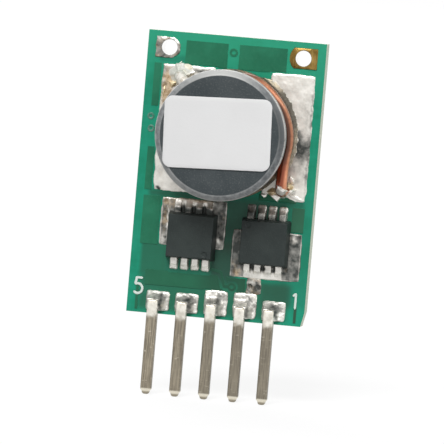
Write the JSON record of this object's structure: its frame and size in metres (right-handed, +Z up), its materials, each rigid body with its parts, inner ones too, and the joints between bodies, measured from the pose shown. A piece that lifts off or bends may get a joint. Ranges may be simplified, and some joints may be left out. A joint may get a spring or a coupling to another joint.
{
  "type": "dc-dc converter",
  "caption": "Upright plug-in dc-dc converter: a small green board on a row of in-line square pins, carrying a wire-wound drum-core coil, power transistors and chip parts.",
  "frame": {"origin": "on the middle pin's axis, at the height of the board's lower edge, where the module seats", "axes": "+Z up the board, away from the pins; the coil's side of the board looks along -Y; +X to the right as seen from that side, towards pin 1"},
  "size_m": [0.0109, 0.0074, 0.0221],
  "materials": {
    "laminate": "green solder mask over glass-epoxy laminate",
    "masked_copper": "copper under green solder mask",
    "tinned_land": "solder-coated copper land",
    "bare_copper": "bare copper land with a clear preservative",
    "pin_tin": "dull tin plate with drawn streaks",
    "solder": "reflowed solder, bright with a grainy skin",
    "ferrite": "fired ferrite, fine grained and matt",
    "enamelled_wire": "enamelled copper wire",
    "blank_label": "blank matt white label",
    "moulding": "black epoxy moulding",
    "tinned_lead": "tin-plated lead frame",
    "capacitor_ceramic": "fired capacitor ceramic",
    "chip_end": "tin-plated chip end",
    "resistor_film": "black glaze on alumina"
  },
  "bodies": {
    "root": {"circuit_board": "laminate", "front_copper": "masked_copper", "back_copper": "masked_copper", "front_lands": "tinned_land", "back_lands": "tinned_land", "left_hole_lands": "tinned_land", "right_hole_lands": "bare_copper", "coil_core": "ferrite", "coil_winding": "enamelled_wire", "coil_label": "blank_label", "controller_body": "moulding", "controller_terminals": "tinned_lead", "back_solder": "solder", "pin_1": "pin_tin", "pin_1_solder": "solder", "pin_2": "pin_tin", "pin_2_solder": "solder", "pin_3": "pin_tin", "pin_3_solder": "solder", "pin_4": "pin_tin", "pin_4_solder": "solder", "pin_5": "pin_tin", "pin_5_solder": "solder", "left_coil_solder": "solder", "left_transistor_body": "moulding", "left_transistor_leads": "tinned_lead", "left_transistor_solder": "solder", "left_input_capacitor": "capacitor_ceramic", "left_input_capacitor_ends": "chip_end", "left_output_capacitor": "capacitor_ceramic", "left_output_capacitor_ends": "chip_end", "right_coil_solder": "solder", "right_transistor_body": "moulding", "right_transistor_leads": "tinned_lead", "right_transistor_solder": "solder", "right_input_capacitor": "capacitor_ceramic", "right_input_capacitor_ends": "chip_end", "right_output_capacitor": "capacitor_ceramic", "right_output_capacitor_ends": "chip_end", "feedback_resistor": "resistor_film", "feedback_resistor_ends": "chip_end", "bias_resistor": "resistor_film", "bias_resistor_ends": "chip_end", "sense_resistor": "resistor_film", "sense_resistor_ends": "chip_end", "timing_resistor": "resistor_film", "timing_resistor_ends": "chip_end", "bypass_capacitor": "capacitor_ceramic", "bypass_capacitor_ends": "chip_end", "boost_capacitor": "capacitor_ceramic", "boost_capacitor_ends": "chip_end", "feedback_capacitor": "capacitor_ceramic", "feedback_capacitor_ends": "chip_end", "filter_capacitor": "capacitor_ceramic", "filter_capacitor_ends": "chip_end"}
  },
  "joints": []
}
